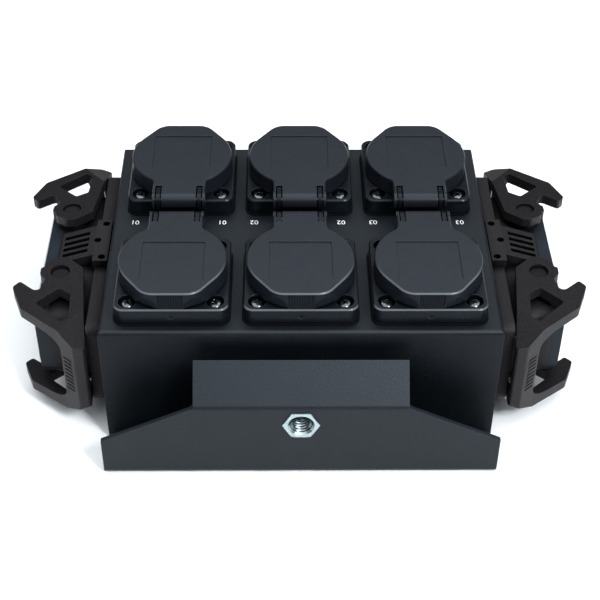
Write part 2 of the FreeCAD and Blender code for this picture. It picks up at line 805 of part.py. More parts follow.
def grip_boss():
    """Raised boss on a long side: a thick foot on the flange and a slotted slope down to the collar."""
    root = collar_cavity_height / 2 + boss_bed
    foot_y = (-boss_foot_half_length, boss_foot_half_length)
    foot = block((connector_gasket, boss_foot_top), foot_y, (root, boss_height))
    profile = [
        (boss_foot_top, root, 0), (boss_slope_end, root, 0),
        (boss_slope_end, boss_slope_height, 0), (boss_foot_top, boss_height, 0),
    ]
    boss = joined(foot, prism(profile, on_xz(-boss_half_length), Vector(0, 2 * boss_half_length, 0)))
    cuts = []
    for index in range(boss_slot_count):
        y = (index - (boss_slot_count - 1) / 2) * boss_slot_pitch - boss_slot_width / 2
        floor_start = boss_slope(boss_slot_start) - boss_slot_depth
        floor_end = boss_slope(boss_slot_end) - boss_slot_depth
        slot = [
            (boss_slot_start, floor_start, 0), (boss_slot_end, floor_end, 0),
            (boss_slot_end, boss_height, 0), (boss_slot_start, boss_height, 0),
        ]
        cuts.append(prism(slot, on_xz(y), Vector(0, boss_slot_width, 0)))
    half = boss_hole_spacing / 2
    for level, y in ((boss_hole_level, -half), (boss_hole_level, half), (boss_mid_hole_level, 0)):
        cuts.append(disc(boss_hole_radius, boss_height - boss_hole_depth, boss_height, level, y))
    return without(boss, *cuts)


def connector_housing():
    """Bulkhead housing: flange, tapered collar, two grip bosses and four lever pivot bosses."""
    deep = Vector(flange_top - connector_gasket, 0, 0)
    outline = rectangle(connector_length, connector_height, connector_corner_radius)
    flange = prism(outline, on_yz(connector_gasket), deep)
    rebate = collar_top - rim_seal_width
    pieces = [collar_solid(flange_top, rebate), collar_solid(rebate, collar_top, rim_seal_thickness)]
    boss = grip_boss()
    pieces += [boss, flipped(boss)]
    boss_root = collar_cavity_height / 2
    for side in (-1, 1):
        y = side * pivot_spacing / 2
        pieces.append(disc(pivot_boss_radius, boss_root, pivot_boss_top, pivot_level, y))
        pieces.append(disc(pivot_boss_radius, -pivot_boss_top, -boss_root, pivot_level, y))
    housing = joined(flange, *pieces)
    throat = rectangle(throat_length, throat_height)
    cuts = [collar_cavity(flange_top, collar_top), prism(throat, on_yz(connector_gasket), deep)]
    for y, z in flange_screw_places():
        start = Vector(connector_gasket, y, z)
        cuts.append(rod(flange_screw_radius + flange_screw_hole_fit, start, start + deep))
    for y in (-pivot_spacing / 2, pivot_spacing / 2):
        cuts.append(disc(pivot_shank_radius, -pivot_boss_top, pivot_boss_top, pivot_level, y))
    return without(housing, *cuts)


def connector_gasket_sheet():
    """Flat gasket between a connector flange and the box wall."""
    across = Vector(connector_gasket, 0, 0)
    sheet = prism(rectangle(connector_length, connector_height, connector_corner_radius), on_yz(0), across)
    cuts = [prism(rectangle(wall_opening_length, wall_opening_height), on_yz(0), across)]
    for y, z in flange_screw_places():
        cuts.append(rod(flange_screw_radius, Vector(0, y, z), Vector(connector_gasket, y, z)))
    return without(sheet, *cuts)


def connector_rim_seal():
    """Rubber seal round the collar's rim, notched round the pivot bosses."""
    low = collar_top - rim_seal_width
    high = collar_top + rim_seal_cap
    cuts = [collar_solid(low, collar_top, rim_seal_thickness), collar_cavity(low, high)]
    for y in (-pivot_spacing / 2, pivot_spacing / 2):
        cuts.append(disc(pivot_boss_radius, -arm_inner, arm_inner, pivot_level, y))
    return without(collar_solid(low, high), *cuts)


def pole_places():
    """The poles of a connector, as (y, z) from its centre."""
    columns = [(index - (pole_columns - 1) / 2) * pole_pitch for index in range(pole_columns)]
    return [(y, z) for z in (-pole_row_offset, pole_row_offset) for y in columns]


def insert_body():
    """Contact insert: a wide back that seats behind the collar and a front that stands proud of the rim."""
    seat = Vector(flange_top + insert_back_reach, 0, 0)
    front = Vector(collar_top + insert_front_proud - flange_top, 0, 0)
    front_outline = rectangle(insert_front_length, insert_front_height, insert_corner_radius)
    return joined(
        prism(rectangle(insert_back_length, insert_back_height), on_yz(-insert_back_reach), seat),
        prism(front_outline, on_yz(flange_top), front),
    )


def pin_insert():
    """Inlet insert: an open pocket in which the pins stand."""
    face = collar_top + insert_front_proud
    wall = 2 * insert_pocket_wall
    pocket = rectangle(insert_front_length - wall, insert_front_height - wall, insert_corner_radius)
    deep = Vector(insert_pocket_depth, 0, 0)
    return without(insert_body(), prism(pocket, on_yz(face - insert_pocket_depth), deep))


def socket_insert():
    """Outlet insert: a closed face with a hole for each pin."""
    face = collar_top + insert_front_proud
    holes = []
    for y, z in pole_places():
        holes.append(rod(pole_hole_radius, Vector(face - pole_hole_depth, y, z), Vector(face, y, z)))
    return without(insert_body(), *holes)


def contact_pins():
    """Pins standing on the floor of the inlet insert's pocket."""
    floor = collar_top + insert_front_proud - insert_pocket_depth
    return [rod(pin_radius, Vector(floor, y, z), Vector(floor + pin_length, y, z)) for y, z in pole_places()]


def contact_sleeves():
    """Sleeves in the holes of the outlet insert."""
    face = collar_top + insert_front_proud
    sleeves = []
    for y, z in pole_places():
        start = Vector(face - pole_hole_depth, y, z)
        end = Vector(face - contact_sleeve_wall, y, z)
        sleeves.append(rod(pole_hole_radius, start, end).cut(rod(pin_radius, start, end)))
    return sleeves


def flange_screws():
    """Screws that hold a connector flange to the wall."""
    screws = []
    for y, z in flange_screw_places():
        seat = Vector(flange_top, y, z)
        head = rod(flange_screw_head_radius, seat, seat + Vector(flange_screw_head_height, 0, 0))
        screws.append(joined(head, rod(flange_screw_radius, Vector(-flange_screw_reach, y, z), seat)))
    return screws


def lever_pivots():
    """Pivot pins of both levers: a wide head in each arm and a shank in the housing's boss."""
    head_top = lever_half_height - pivot_recess
    root = collar_cavity_height / 2
    pins = []
    for y in (-pivot_spacing / 2, pivot_spacing / 2):
        head = disc(pivot_pin_radius, pivot_boss_top, head_top, pivot_level, y)
        pin = joined(head, disc(pivot_shank_radius, root, pivot_boss_top, pivot_level, y))
        pins += [pin, flipped(pin)]
    return pins


def on_lever(point):
    """Place points measured from the back lever's pivot at the lower end of its blank."""
    return Vector(pivot_level + point.y, pivot_spacing / 2 + point.x, -lever_blank_half)


def lever_trapezium(half_at_pivot, taper, reach, radius=0.0):
    """Side outline that narrows from behind the pivot to a reach beyond it, pushed across the lever."""
    pivot_y = pivot_spacing / 2
    wide = half_at_pivot + taper * lever_span
    narrow = half_at_pivot - taper * reach
    outline = [
        (pivot_y - lever_span, -wide, 0), (pivot_y + reach, -narrow, radius),
        (pivot_y + reach, narrow, radius), (pivot_y - lever_span, wide, 0),
    ]
    return prism(outline, on_yz(0), Vector(lever_span, 0, 0))


def lever_fold():
    """Wedge above the plane in which the upper arm slopes down to the grip bar."""
    level = lever_half_height - lever_outer_taper * lever_fold_along
    drop = lever_span * math.tan(math.radians(lever_fold_slope))
    outline = [(-lever_span, level + drop, 0), (lever_span, level - drop, 0), (lever_span, level + drop, 0)]
    wedge = prism(outline, on_xz(-lever_span), Vector(0, 2 * lever_span, 0))
    place = Vector(pivot_level + lever_fold_out, pivot_spacing / 2 + lever_fold_along, 0)
    return moved(wedge, place, lever_fold_turn)


def lever():
    """U-shaped locking lever: two hooked arms with a cut-out, folded towards the grip bar that joins them."""
    tall = Vector(0, 0, 2 * lever_blank_half)
    blank = prism(lever_outline, on_lever, tall)
    body = blank.common(lever_trapezium(lever_half_height, lever_outer_taper, lever_span))
    fold = lever_fold()
    pivot_y = pivot_spacing / 2
    cuts = [
        fold, fold.mirror(Vector(0, 0, 0), Vector(0, 0, 1)), prism(lever_cutout, on_lever, tall),
        lever_trapezium(arm_inner, lever_inner_taper, lever_window_end, lever_window_radius),
        disc(pivot_pin_radius + pivot_pin_fit, -lever_blank_half, lever_blank_half, pivot_level, pivot_y),
    ]
    return without(body, *cuts)


def channel_wiring(channel):
    """One channel's run between the connectors, with a branch up to each of its two sockets."""
    x = (channel - (len(channels) + 1) / 2) * socket_pitch
    y = (channel - (len(channels) + 1) / 2) * wire_spacing
    end = box_width / 2 - insert_back_reach
    carrier_level = box_height + carrier_bottom
    run = rod(wire_radius, Vector(-end, y, wire_level), Vector(end, y, wire_level))
    pieces = [rod(branch_radius, Vector(x, y, wire_level), Vector(x, y, branch_level + branch_radius))]
    reach = socket_row_offset + branch_radius
    pieces.append(rod(branch_radius, Vector(x, -reach, branch_level), Vector(x, reach, branch_level)))
    for side in (-1, 1):
        foot = Vector(x, side * socket_row_offset, branch_level)
        pieces.append(rod(branch_radius, foot, Vector(foot.x, foot.y, carrier_level)))
    return joined(run, *pieces)


def save(name, shape):
    """Write one node."""
    shape.exportStep(f"parts/{name}.step")


os.makedirs("parts", exist_ok=True)

save("enclosure_shell", enclosure_shell())
save("base_plate_bracket", base_plate_bracket())
save("clamp_nut", clamp_nut())
save("base_screws", base_screws())
save("earth_stud", earth_stud())
for channel in channels:
    save(f"channel_wiring_{channel}", channel_wiring(channel))

# Pieces with a node for each socket
single_pieces = {
    "socket_base": socket_base(), "socket_carrier": socket_carrier(), "lid": lid(), "lid_seal": lid_seal(),
}
# Pieces that share one node over all sockets
shared_pieces = {
    "socket_gaskets": [socket_gasket()], "socket_screws": socket_screws(),
    "socket_contacts": socket_contacts(), "earth_clips": earth_clips(),
    "hinge_pins": [hinge_pin()], "lid_springs": [lid_spring()],
}
for name, place, turn in socket_places():
    for piece, shape in single_pieces.items():
        save(f"{piece}_{name}", moved(shape, place, turn))
for piece, shapes in shared_pieces.items():
    copies = [moved(shape, place, turn) for name, place, turn in socket_places() for shape in shapes]
    save(piece, Part.makeCompound(copies))

# Connectors: the right one carries the outlet insert, the left one the inlet insert
inserts = {"right": socket_insert(), "left": pin_insert()}
contacts = {"right": contact_sleeves(), "left": contact_pins()}
housing = connector_housing()
gasket = connector_gasket_sheet()
rim_seal = connector_rim_seal()
back_lever = lever()
for name, place, turn in connector_places():
    save(f"connector_housing_{name}", moved(housing, place, turn))
    save(f"connector_gasket_{name}", moved(gasket, place, turn))
    save(f"connector_rim_seal_{name}", moved(rim_seal, place, turn))
    save(f"connector_insert_{name}", moved(inserts[name], place, turn))
    groups = {
        "connector_contacts": contacts[name], "flange_screws": flange_screws(),
        "lever_pivots": lever_pivots(),
    }
    for group, shapes in groups.items():
        save(f"{group}_{name}", Part.makeCompound([moved(shape, place, turn) for shape in shapes]))
    ends = ("back", "front") if name == "right" else ("front", "back")
    save(f"lever_{name}_{ends[0]}", moved(back_lever, place, turn))
    save(f"lever_{name}_{ends[1]}", moved(flipped(back_lever), place, turn))
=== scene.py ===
# %% [markdown]
# # A power split box, dressed for its picture
#
# The box lies on a pale floor: six lidded sockets on a folded sheet metal case, a lever-locked
# connector on each side wall and a hanging bracket in front. Its construction is loaded ready made
# and stays where it is. This lesson adds what a camera sees: finishes, screws, springs, the thread
# in the nut, grip ribs, printed numbers and the light of a small studio.

# %% Load the construction
import json
import math

import bmesh
import bpy
from mathutils import Matrix, Vector

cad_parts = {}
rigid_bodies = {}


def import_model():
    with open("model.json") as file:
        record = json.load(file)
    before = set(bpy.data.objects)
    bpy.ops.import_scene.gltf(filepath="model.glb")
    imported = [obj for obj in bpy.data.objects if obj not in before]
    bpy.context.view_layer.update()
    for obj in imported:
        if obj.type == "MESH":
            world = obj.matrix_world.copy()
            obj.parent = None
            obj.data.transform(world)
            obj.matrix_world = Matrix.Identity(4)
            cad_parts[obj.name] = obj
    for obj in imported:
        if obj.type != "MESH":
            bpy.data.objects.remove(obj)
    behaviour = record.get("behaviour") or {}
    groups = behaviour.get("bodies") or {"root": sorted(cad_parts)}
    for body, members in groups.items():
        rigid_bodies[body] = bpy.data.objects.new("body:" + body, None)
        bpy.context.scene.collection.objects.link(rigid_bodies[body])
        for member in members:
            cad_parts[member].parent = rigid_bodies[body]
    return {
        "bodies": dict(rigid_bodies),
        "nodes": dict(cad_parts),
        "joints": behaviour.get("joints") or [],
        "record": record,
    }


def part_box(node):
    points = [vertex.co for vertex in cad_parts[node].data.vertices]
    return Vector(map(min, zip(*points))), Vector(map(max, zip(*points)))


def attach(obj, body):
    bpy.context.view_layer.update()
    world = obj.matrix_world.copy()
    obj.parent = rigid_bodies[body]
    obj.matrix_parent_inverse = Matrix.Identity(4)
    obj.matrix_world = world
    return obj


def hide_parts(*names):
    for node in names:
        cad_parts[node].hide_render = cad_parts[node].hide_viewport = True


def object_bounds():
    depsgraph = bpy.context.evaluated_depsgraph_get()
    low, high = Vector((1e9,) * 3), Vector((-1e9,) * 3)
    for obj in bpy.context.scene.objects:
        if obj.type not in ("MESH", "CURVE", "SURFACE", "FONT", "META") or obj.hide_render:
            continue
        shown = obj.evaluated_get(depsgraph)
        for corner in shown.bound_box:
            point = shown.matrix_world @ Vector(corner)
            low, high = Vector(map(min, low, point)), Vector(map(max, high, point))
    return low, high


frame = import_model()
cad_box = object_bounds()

MM = 0.001
scene = bpy.context.scene
nodes = frame["nodes"]
joints = {joint["name"]: joint for joint in frame["joints"]}
mounts = {mount["name"]: mount for mount in frame["record"]["mounts"]}
print("box", [round(v / MM, 1) for v in cad_box[1] - cad_box[0]])

# %% [markdown]
# ## Camera
#
# The picture was taken from in front and above with a long lens. A camera can be moved by eye until the
# outlines agree. Here its place, its three angles and its focal length were worked out from the corners
# of the case and the sockets instead, so the model falls on the same pixels.

# %% Camera
camera_place = Vector((-0.00764, -0.49953, 0.46301))
camera_pitch = math.radians(41.365)
camera_yaw = math.radians(0.933)
camera_roll = math.radians(0.537)
camera_lens = 81.683
camera_sensor = 36.0
camera_near = 0.01

camera_data = bpy.data.cameras.new("camera")
camera_data.lens = camera_lens
camera_data.sensor_width = camera_sensor
camera_data.clip_start = camera_near
camera = bpy.data.objects.new("camera", camera_data)
camera.matrix_world = (
    Matrix.Translation(camera_place) @ Matrix.Rotation(-camera_yaw, 4, "Z")
    @ Matrix.Rotation(math.pi / 2 - camera_pitch, 4, "X") @ Matrix.Rotation(camera_roll, 4, "Z"))
scene.collection.objects.link(camera)
scene.camera = camera
print("camera", tuple(round(v, 3) for v in camera.location))

# %% [markdown]
# ## Room and floor
#
# The box lies in a plain studio: a pale floor with no edge in sight, and dim, cool surroundings. A
# backdrop could be bent up behind the object, but a floor that reaches far past the view looks plain
# from every side. It lies a hair below the box, because two faces at one height would flicker.

# %% Room and floor
room_light = 0.16
room_colour = (0.90, 0.95, 1.0, 1.0)
floor_half = 12.0
floor_gap = 0.1 * MM
floor_colour = (0.95, 0.952, 0.955, 1.0)
floor_roughness = 0.9


def make_room():
    """Dim, cool surroundings that light the object from all sides."""
    world = bpy.data.worlds.new("studio_room")
    world.use_nodes = True
    background = world.node_tree.nodes["Background"]
    background.inputs["Color"].default_value = room_colour
    background.inputs["Strength"].default_value = room_light
    scene.world = world


def make_floor():
    """Pale floor just below the box, far larger than the view."""
    material = bpy.data.materials.new("pale_floor")
    material.use_nodes = True
    shader = material.node_tree.nodes["Principled BSDF"]
    shader.inputs["Base Color"].default_value = floor_colour
    shader.inputs["Roughness"].default_value = floor_roughness
    level = cad_box[0].z - floor_gap
    corners = [(-floor_half, -floor_half, level), (floor_half, -floor_half, level),
               (floor_half, floor_half, level), (-floor_half, floor_half, level)]
    mesh = bpy.data.meshes.new("floor")
    mesh.from_pydata(corners, [], [(0, 1, 2, 3)])
    mesh.materials.append(material)
    floor = bpy.data.objects.new("floor", mesh)
    scene.collection.objects.link(floor)
    return floor


make_room()
print("floor", tuple(round(v, 1) for v in make_floor().dimensions))

# %% [markdown]
# ## Lamps
#
# A black object is drawn by what it mirrors. Several small lamps would leave spots on it, so one very
# large soft lamp overhead gives the upper faces their sheen and whitens the floor, which the upright
# faces mirror in turn. A small lamp in front on the right, narrowed by a grid, lights the bracket's
# leaning flange and draws a thin line on each front edge. The colours are shown without a film curve,
# so that white comes out white.

# %% Lamps
scene.view_settings.view_transform = "Standard"

lamp_colour = (0.92, 0.965, 1.0)
open_beam = 180.0


def soft_lamp(name, place, aim, size, power, beam=open_beam):
    """Square soft lamp that looks at a point; a grid may narrow its beam, in degrees."""
    data = bpy.data.lights.new(name, "AREA")
    data.size = size
    data.energy = power
    data.color = lamp_colour
    data.spread = math.radians(beam)
    lamp = bpy.data.objects.new(name, data)
    lamp.location = place
    lamp.rotation_euler = (Vector(aim) - Vector(place)).to_track_quat("-Z", "Y").to_euler()
    scene.collection.objects.link(lamp)
    return lamp


lamps = [
    soft_lamp("lamp_overhead", place=(0.0, 0.0, 2.2), aim=(0.0, 0.0, 0.04), size=4.4, power=134.0),
    soft_lamp("lamp_front", place=(0.58, -0.74, 0.98), aim=(0.0, -0.06, 0.05), size=0.3, power=0.8,
              beam=40.0),
]
print("lamps", [lamp.name for lamp in lamps])

# %% [markdown]
# ## How a finish is built
#
# Each finish is a small tree of nodes round one shader. Painted pictures could do the same, but every
# piece would need a flat layout for them, and they blur close up. Formulas in the piece's own frame
# need no layout, stay sharp and turn with a lid when it opens. The first helpers make what every finish
# uses: a number worked out, one range spread over another, and a blend of two colours.

# %% Node helpers
# A mix node has a set of sockets for each kind of value. These are the places of its colour sockets.
mix_colour_inputs = (6, 7)
mix_colour_output = 2


def add_node(tree, kind, **values):
    """New node with some of its inputs set; an underscore stands for a space."""
    node = tree.nodes.new(kind)
    for name, value in values.items():
        node.inputs[name.replace("_", " ")].default_value = value
    return node


def feed(tree, value, socket):
    """Link a socket to a source, or set it to a fixed number or colour."""
    if isinstance(value, bpy.types.NodeSocket):
        tree.links.new(value, socket)
    else:
        socket.default_value = value


def worked(tree, operation, *values):
    """Number worked out from sources and fixed numbers."""
    node = add_node(tree, "ShaderNodeMath")
    node.operation = operation
    for socket, value in zip(node.inputs, values):
        feed(tree, value, socket)
    return node.outputs["Value"]


def product(tree, first, *others):
    """Several sources multiplied."""
    for other in others:
        first = worked(tree, "MULTIPLY", first, other)
    return first


def spread(tree, source, low, high, start=0.3, end=0.7):
    """Number that goes from low to high as a source goes from start to end."""
    node = add_node(tree, "ShaderNodeMapRange", From_Min=start, From_Max=end, To_Min=low, To_Max=high)
    feed(tree, source, node.inputs["Value"])
    return node.outputs["Result"]


def blend_colour(tree, share, first, second):
    """Colour that goes from the first to the second as the share goes from 0 to 1."""
    node = add_node(tree, "ShaderNodeMix")
    node.data_type = "RGBA"
    feed(tree, share, node.inputs["Factor"])
    for place, colour in zip(mix_colour_inputs, (first, second)):
        feed(tree, (*colour, 1.0) if isinstance(colour, tuple) else colour, node.inputs[place])
    return node.outputs[mix_colour_output]


def new_finish(name):
    """Empty finish with its node tree and its shader."""
    material = bpy.data.materials.new(name)
    material.use_nodes = True
    return material, material.node_tree, material.node_tree.nodes["Principled BSDF"]


print("helpers for numbers, ranges and colours")

# %% [markdown]
# ## Grain, edges and gaps
#
# A real surface differs from a flat colour in three ways. It has grain, as a mould or a baked powder leaves
# it, and noise gives that. Its sharp edges are a little round: a bevel node rounds the light there, and
# where it bends the surface most, a mask is 1, which the finishes paint in an edge colour, lighter partly as
# wear and partly as painted highlight. Its narrow gaps lie in shade: an occlusion node finds them, and
# painted shade darkens them. All of this could be modelled, but details finer than the moulding's own edges
# cost many faces, and shading shows them as well.

# %% Grain, edges and gaps
rays_per_point = 6
edge_likeness = (0.70, 0.99)
gap_openness = (0.30, 0.85)


def grain(tree, size, detail=3.0):
    """Noise whose features are about this size in metres."""
    place = add_node(tree, "ShaderNodeTexCoord")
    noise = add_node(tree, "ShaderNodeTexNoise", Scale=1.0 / size, Detail=detail)
    tree.links.new(place.outputs["Object"], noise.inputs["Vector"])
    return noise.outputs["Fac"]


def bumped(tree, height, strength, depth, normal):
    """Normal bent by a height source, on top of another normal."""
    node = add_node(tree, "ShaderNodeBump", Strength=strength, Distance=depth)
    tree.links.new(height, node.inputs["Height"])
    tree.links.new(normal, node.inputs["Normal"])
    return node.outputs["Normal"]


def rounded_edges(tree, radius):
    """Normal that turns smoothly over a sharp edge."""
    node = add_node(tree, "ShaderNodeBevel", Radius=radius)
    node.samples = rays_per_point
    return node.outputs["Normal"]


# Finishes paint the edges this picks in an edge colour: lighter ones are partly wear and partly painted
# highlight, black ones are painted shade.
def sharp_edge_mask(tree, rounded):
    """1 on a sharp edge, where the rounded normal leaves the true one, and 0 on a flat."""
    surface = add_node(tree, "ShaderNodeNewGeometry")
    likeness = add_node(tree, "ShaderNodeVectorMath")
    likeness.operation = "DOT_PRODUCT"
    tree.links.new(rounded, likeness.inputs[0])
    tree.links.new(surface.outputs["Normal"], likeness.inputs[1])
    return spread(tree, likeness.outputs["Value"], 1.0, 0.0, *edge_likeness)


# Finishes paint shade where this is low, so gaps and corners turn dark.
def open_faces(tree, reach):
    """1 on open faces, less in gaps and corners that are narrower than the reach."""
    node = add_node(tree, "ShaderNodeAmbientOcclusion", Distance=reach)
    node.samples = rays_per_point
    return spread(tree, node.outputs["AO"], 0.0, 1.0, *gap_openness)


print("helpers for grain, edges and gaps")

# %% [markdown]
# ## Sheen by direction
#
# In the picture the tops shine more than the walls, further apart than the lamps alone can bring them.
# So a finish may mirror more on faces that look up and less on upright ones. The direction is the
# piece's own and not the camera's, so the sheen stays on the piece when it is seen from another side.


# %% Sheen by direction
def own_axis(tree, kind, axis):
    """One axis of a point's place (Object) or of a face's direction (Normal), in the piece's own frame."""
    place = add_node(tree, "ShaderNodeTexCoord")
    parts = add_node(tree, "ShaderNodeSeparateXYZ")
    tree.links.new(place.outputs[kind], parts.inputs[0])
    return parts.outputs[axis]


def facing_up(tree, start=0.25, end=0.85):
    """1 on faces that look up and 0 on upright ones, or the other way if start is above end."""
    return spread(tree, own_axis(tree, "Normal", "Z"), 0.0, 1.0, start, end)


def sheen(tree, mirror):
    """How much a face mirrors: the first number on upright faces, the second on tops."""
    upright, top = mirror
    return spread(tree, facing_up(tree), upright, top, 0.0, 1.0)


print("helpers for place and direction")

# %% [markdown]
# ## Powder coat
#
# The case and the bracket are folded sheet under baked powder: a fine pebbled skin over a slow ripple,
# charcoal with a cool sheen. Along the folds the colour is painted a little lighter, partly as wear and
# partly as painted highlight. Displaced faces could make such a skin, but it would take millions of them.
# Two bumps, the coarse one below the fine one, show both scales.
# One function makes both coats. They differ in tone and sheen, and the case's darker tone is painted shade.

# %% Powder coat
cool_sheen = (0.82, 0.91, 1.0, 1.0)
# Colour painted on the coat's folds: partly wear, partly painted highlight.
coat_edge_colour = (0.030, 0.038, 0.045)
coat_edge_radius = 0.35 * MM
coat_mottle_size = 14 * MM
coat_roughness = (0.44, 0.56)
coat_relief = 0.10 * MM
ripple_size = 2.4 * MM
ripple_strength = 0.10
pebble_size = 0.75 * MM
pebble_strength = 0.70


def powder_coat(name, dark, light, mirror):
    """Charcoal powder coat on sheet metal, mottled between two shades."""
    material, tree, shader = new_finish(name)
    shader.inputs["Specular Tint"].default_value = cool_sheen
    tree.links.new(sheen(tree, mirror), shader.inputs["Specular IOR Level"])
    normal = rounded_edges(tree, coat_edge_radius)
    mottle = spread(tree, grain(tree, coat_mottle_size, detail=4.0), 0.0, 1.0)
    body = blend_colour(tree, mottle, dark, light)
    # The folds are painted lighter: partly wear, partly painted highlight.
    edge_coloured = blend_colour(tree, sharp_edge_mask(tree, normal), body, coat_edge_colour)
    tree.links.new(edge_coloured, shader.inputs["Base Color"])
    pebble = grain(tree, pebble_size, detail=2.0)
    tree.links.new(spread(tree, pebble, *coat_roughness), shader.inputs["Roughness"])
    ripple = grain(tree, ripple_size, detail=2.0)
    rippled = bumped(tree, ripple, ripple_strength, coat_relief, normal)
    tree.links.new(bumped(tree, pebble, pebble_strength, coat_relief, rippled), shader.inputs["Normal"])
    return material


bracket_coat = powder_coat(
    "powder_coat_bracket", (0.0034, 0.0052, 0.0074), (0.0048, 0.0068, 0.0094), mirror=(0.29, 0.40))
# The case's coat is a darker copy of the bracket's: painted shade.
shaded_shell_coat = powder_coat(
    "powder_coat_shell_shaded", (0.0016, 0.0025, 0.0037), (0.0024, 0.0034, 0.0047), mirror=(0.21, 0.37))
print("coats", bracket_coat.name, shaded_shell_coat.name)

# %% [markdown]
# ## Marks on lids and sockets
#
# Three marks of painted light and shade belong to the lids and the socket bases. The seams and barrels round
# the hinges get painted shade, the rounded rims of the front row a line of painted highlight, and the thumb
# tabs fine upright stripes of painted shade that stand for ribs. Marks can be cut into a mesh, but the
# construction stays as it came, so each is a mask, found by place and direction.
# The lids' columns repeat at one distance. Wrapping the place across them lets one formula serve all six.

# %% Marks on lids and sockets
# Each pair says where a mask begins to change and where the change ends: places in metres, or how far a
# face looks along an axis, from -1 to 1.
hinge_strip = (12.5 * MM, 14.0 * MM)
front_row = (-24.0 * MM, -16.0 * MM)
tab_half_width = (5.6 * MM, 6.0 * MM)
tab_reach = (57.0 * MM, 58.0 * MM)
tab_rib_flank = (0.10 * MM, 0.45 * MM)
rim_above_wall = (0.45, 0.60)
rim_below_top = (0.95, 0.80)
rim_to_front = (-0.45, -0.05)
tab_upright = (0.75, 0.45)
tab_rib_half_pitch = 0.55 * MM
column_pitch = mounts["socket_front_3"]["pos_m"][0] - mounts["socket_front_2"]["pos_m"][0]


def from_middle(tree):
    """Distance to the front or back from the line between the two rows."""
    return worked(tree, "ABSOLUTE", own_axis(tree, "Object", "Y"))


def near_hinges(tree):
    """1 in the strip round the two hinge lines, 0 away from it."""
    return spread(tree, from_middle(tree), 1.0, 0.0, *hinge_strip)


def front_rim_highlight(tree):
    """1 on rounded upper edges that look to the front, in the front row only, where a highlight is painted.
    """
    above_wall = facing_up(tree, *rim_above_wall)
    below_top = facing_up(tree, *rim_below_top)
    front = spread(tree, own_axis(tree, "Normal", "Y"), 1.0, 0.0, *rim_to_front)
    row = spread(tree, own_axis(tree, "Object", "Y"), 1.0, 0.0, *front_row)
    return product(tree, above_wall, below_top, front, row)


def thumb_ribs(tree):
    """Stripes across the thumb tabs at the free ends of the lids, where painted shade stands for ribs; 0
    elsewhere.
    """
    across = worked(tree, "WRAP", own_axis(tree, "Object", "X"), column_pitch / 2, -column_pitch / 2)
    tab = spread(tree, worked(tree, "ABSOLUTE", across), 1.0, 0.0, *tab_half_width)
    end = spread(tree, from_middle(tree), 0.0, 1.0, *tab_reach)
    upright = facing_up(tree, *tab_upright)
    wave = worked(tree, "PINGPONG", across, tab_rib_half_pitch)
    stripes = spread(tree, wave, 0.0, 1.0, *tab_rib_flank)
    return product(tree, tab, end, upright, stripes)


print("columns repeat every", round(column_pitch / MM, 1), "mm")

# %% [markdown]
# ## Moulded plastics and rubber
#
# Lids, bases, housings, levers, inserts and seals are moulded. They carry the grain of their mould, finer on
# the lids than on the glass-filled levers and housings, which are browner too. A material could be written
# for each, but they differ only in colour, grain, shine and the width of the gaps that get painted shade, so
# one function makes them all. Its mirror has two numbers, for upright faces and for tops.

# %% Moulded plastics and rubber
warm_sheen = (1.0, 0.94, 0.97, 1.0)
# Painted shade: the black that gaps, hinge seams and pin rims are painted towards.
shade_black = (0.001, 0.001, 0.001)
# Painted highlight: the grey of the light line on the front row's rims.
rim_highlight_grey = (0.085, 0.091, 0.100)
hinge_slope = (0.98, 0.80)
hinge_shade = 0.8
rib_shade = 0.4
mould_bump = 0.45
mould_unevenness = (-0.05, 0.07)


def moulded(name, dark, light, edge_colour, grain_size, grain_depth, roughness, mirror=(0.5, 0.5),
            edge_radius=0.3 * MM, mottle_size=9 * MM, gap=1.6 * MM, tint=cool_sheen,
            hinged=False, ribbed=False):
    """Moulded finish, mottled between two shades; gaps up to a given width get painted shade."""
    material, tree, shader = new_finish(name)
    shader.inputs["Specular Tint"].default_value = tint
    normal = rounded_edges(tree, edge_radius)
    mottle = spread(tree, grain(tree, mottle_size, detail=5.0), 0.0, 1.0)
    body = blend_colour(tree, mottle, dark, light)
    unshaded = open_faces(tree, gap)
    if hinged:
        # Near the hinges the edges are painted black and faces that do not look up are darker: painted
        # shade.
        hinge = near_hinges(tree)
        edge_colour = blend_colour(tree, hinge, edge_colour, shade_black)
        sloping = product(tree, hinge, facing_up(tree, *hinge_slope))
        unshaded = product(tree, unshaded, spread(tree, sloping, 1.0, hinge_shade, 0.0, 1.0))
        # The front row's rounded rims get a painted highlight line.
        body = blend_colour(tree, front_rim_highlight(tree), body, rim_highlight_grey)
    if ribbed:
        # Stripes of painted shade on the thumb tabs stand for fine ribs.
        unshaded = product(tree, unshaded, spread(tree, thumb_ribs(tree), 1.0, rib_shade, 0.0, 1.0))
    # Sharp edges take the edge colour: partly wear and partly painted highlight where it is lighter, painted
    # shade where it is black.
    edge_coloured = blend_colour(tree, sharp_edge_mask(tree, normal), body, edge_colour)
    # Colour and mirror fall towards black where faces are not open: painted shade in gaps.
    tree.links.new(blend_colour(tree, unshaded, shade_black, edge_coloured), shader.inputs["Base Color"])
    tree.links.new(product(tree, unshaded, sheen(tree, mirror)), shader.inputs["Specular IOR Level"])
    skin = grain(tree, grain_size)
    smoothest, roughest = (roughness + change for change in mould_unevenness)
    tree.links.new(spread(tree, skin, smoothest, roughest), shader.inputs["Roughness"])
    tree.links.new(bumped(tree, skin, mould_bump, grain_depth, normal), shader.inputs["Normal"])
    return material


print("moulded finishes turn to", shade_black, "in their gaps")
